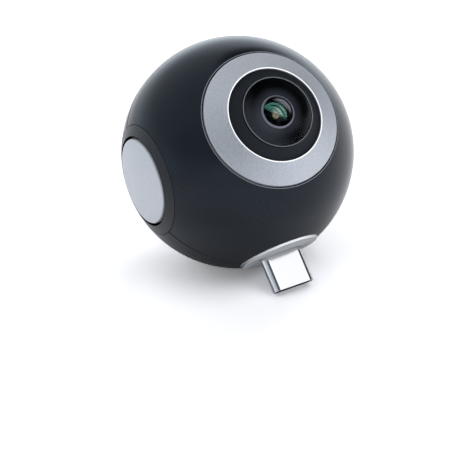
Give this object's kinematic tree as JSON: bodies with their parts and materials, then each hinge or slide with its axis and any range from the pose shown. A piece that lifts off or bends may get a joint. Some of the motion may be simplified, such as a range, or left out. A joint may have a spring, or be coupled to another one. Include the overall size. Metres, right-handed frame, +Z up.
{
  "type": "360 degree camera",
  "caption": "Ball shaped 360 degree camera with back-to-back fisheye lenses, a press button on its side and a USB-C plug that holds it on a phone.",
  "frame": {"origin": "centre of the base plate's flat outer face, on the plug's axis", "axes": "+Z up through the ball, away from the plug; -Y out of the front lens; -X out of the button"},
  "size_m": [0.0428, 0.0458, 0.0486],
  "materials": {
    "shell_black": "soft satin",
    "satin_aluminium": "bead blasted, clear anodised",
    "bezel_black": "fine concentric grooves",
    "ring_aluminium": "turned, bare edge",
    "lens_glass": "polished, coated",
    "barrel_black": "black anodised",
    "holder_black": "moulded",
    "filter_glass": "coated",
    "sensor_dark": "cover glass on ceramic",
    "board_green": "solder mask",
    "flex_amber": "polyimide",
    "screw_steel": "zinc plated",
    "chip_black": "moulded",
    "pad_grey": "soft silicone",
    "can_tin": "tinned sheet",
    "coil_ferrite": "ferrite",
    "capacitor_tan": "ceramic",
    "socket_ivory": "moulded",
    "switch_white": "moulded",
    "plug_nickel": "bright nickel",
    "contact_gold": "gold plated"
  },
  "bodies": {
    "camera_body": {"base_plate": "satin_aluminium", "board_screws": "screw_steel", "button_collar": "shell_black", "capacitors": "capacitor_tan", "collar_screws": "screw_steel", "flex_sockets": "socket_ivory", "front_aperture_stop": "barrel_black", "front_bezel": "bezel_black", "front_image_sensor": "sensor_dark", "front_inner_lens": "lens_glass", "front_ir_filter": "filter_glass", "front_lens_barrel": "barrel_black", "front_lens_holder": "holder_black", "front_lens_spacer": "barrel_black", "front_module_screws": "screw_steel", "front_outer_lens": "lens_glass", "front_relay_lens": "lens_glass", "front_retaining_ring": "ring_aluminium", "front_sensor_board": "board_green", "front_sensor_flex": "flex_amber", "front_shell": "shell_black", "front_trim_ring": "satin_aluminium", "image_processor": "chip_black", "main_board": "board_green", "memory_chip": "chip_black", "plug_carrier": "holder_black", "plug_contacts": "contact_gold", "plug_insulator": "holder_black", "plug_shell": "plug_nickel", "power_coil": "coil_ferrite", "rear_aperture_stop": "barrel_black", "rear_bezel": "bezel_black", "rear_image_sensor": "sensor_dark", "rear_inner_lens": "lens_glass", "rear_ir_filter": "filter_glass", "rear_lens_barrel": "barrel_black", "rear_lens_holder": "holder_black", "rear_lens_spacer": "barrel_black", "rear_module_screws": "screw_steel", "rear_outer_lens": "lens_glass", "rear_relay_lens": "lens_glass", "rear_retaining_ring": "ring_aluminium", "rear_sensor_board": "board_green", "rear_sensor_flex": "flex_amber", "rear_shell": "shell_black", "rear_trim_ring": "satin_aluminium", "shield_can": "can_tin", "side_collar": "shell_black", "side_plate": "satin_aluminium", "side_switch": "chip_black", "thermal_pad": "pad_grey"},
    "button": {"button_cap": "satin_aluminium", "button_clip": "screw_steel", "switch_plunger": "switch_white"}
  },
  "joints": [
    {"name": "button_press", "type": "slide", "parent": "camera_body", "child": "button", "axis": [1, 0, 0], "range_m": [0, 0.0004], "stiffness_N_per_m": 2000, "springref_m": -0.0004}
  ]
}
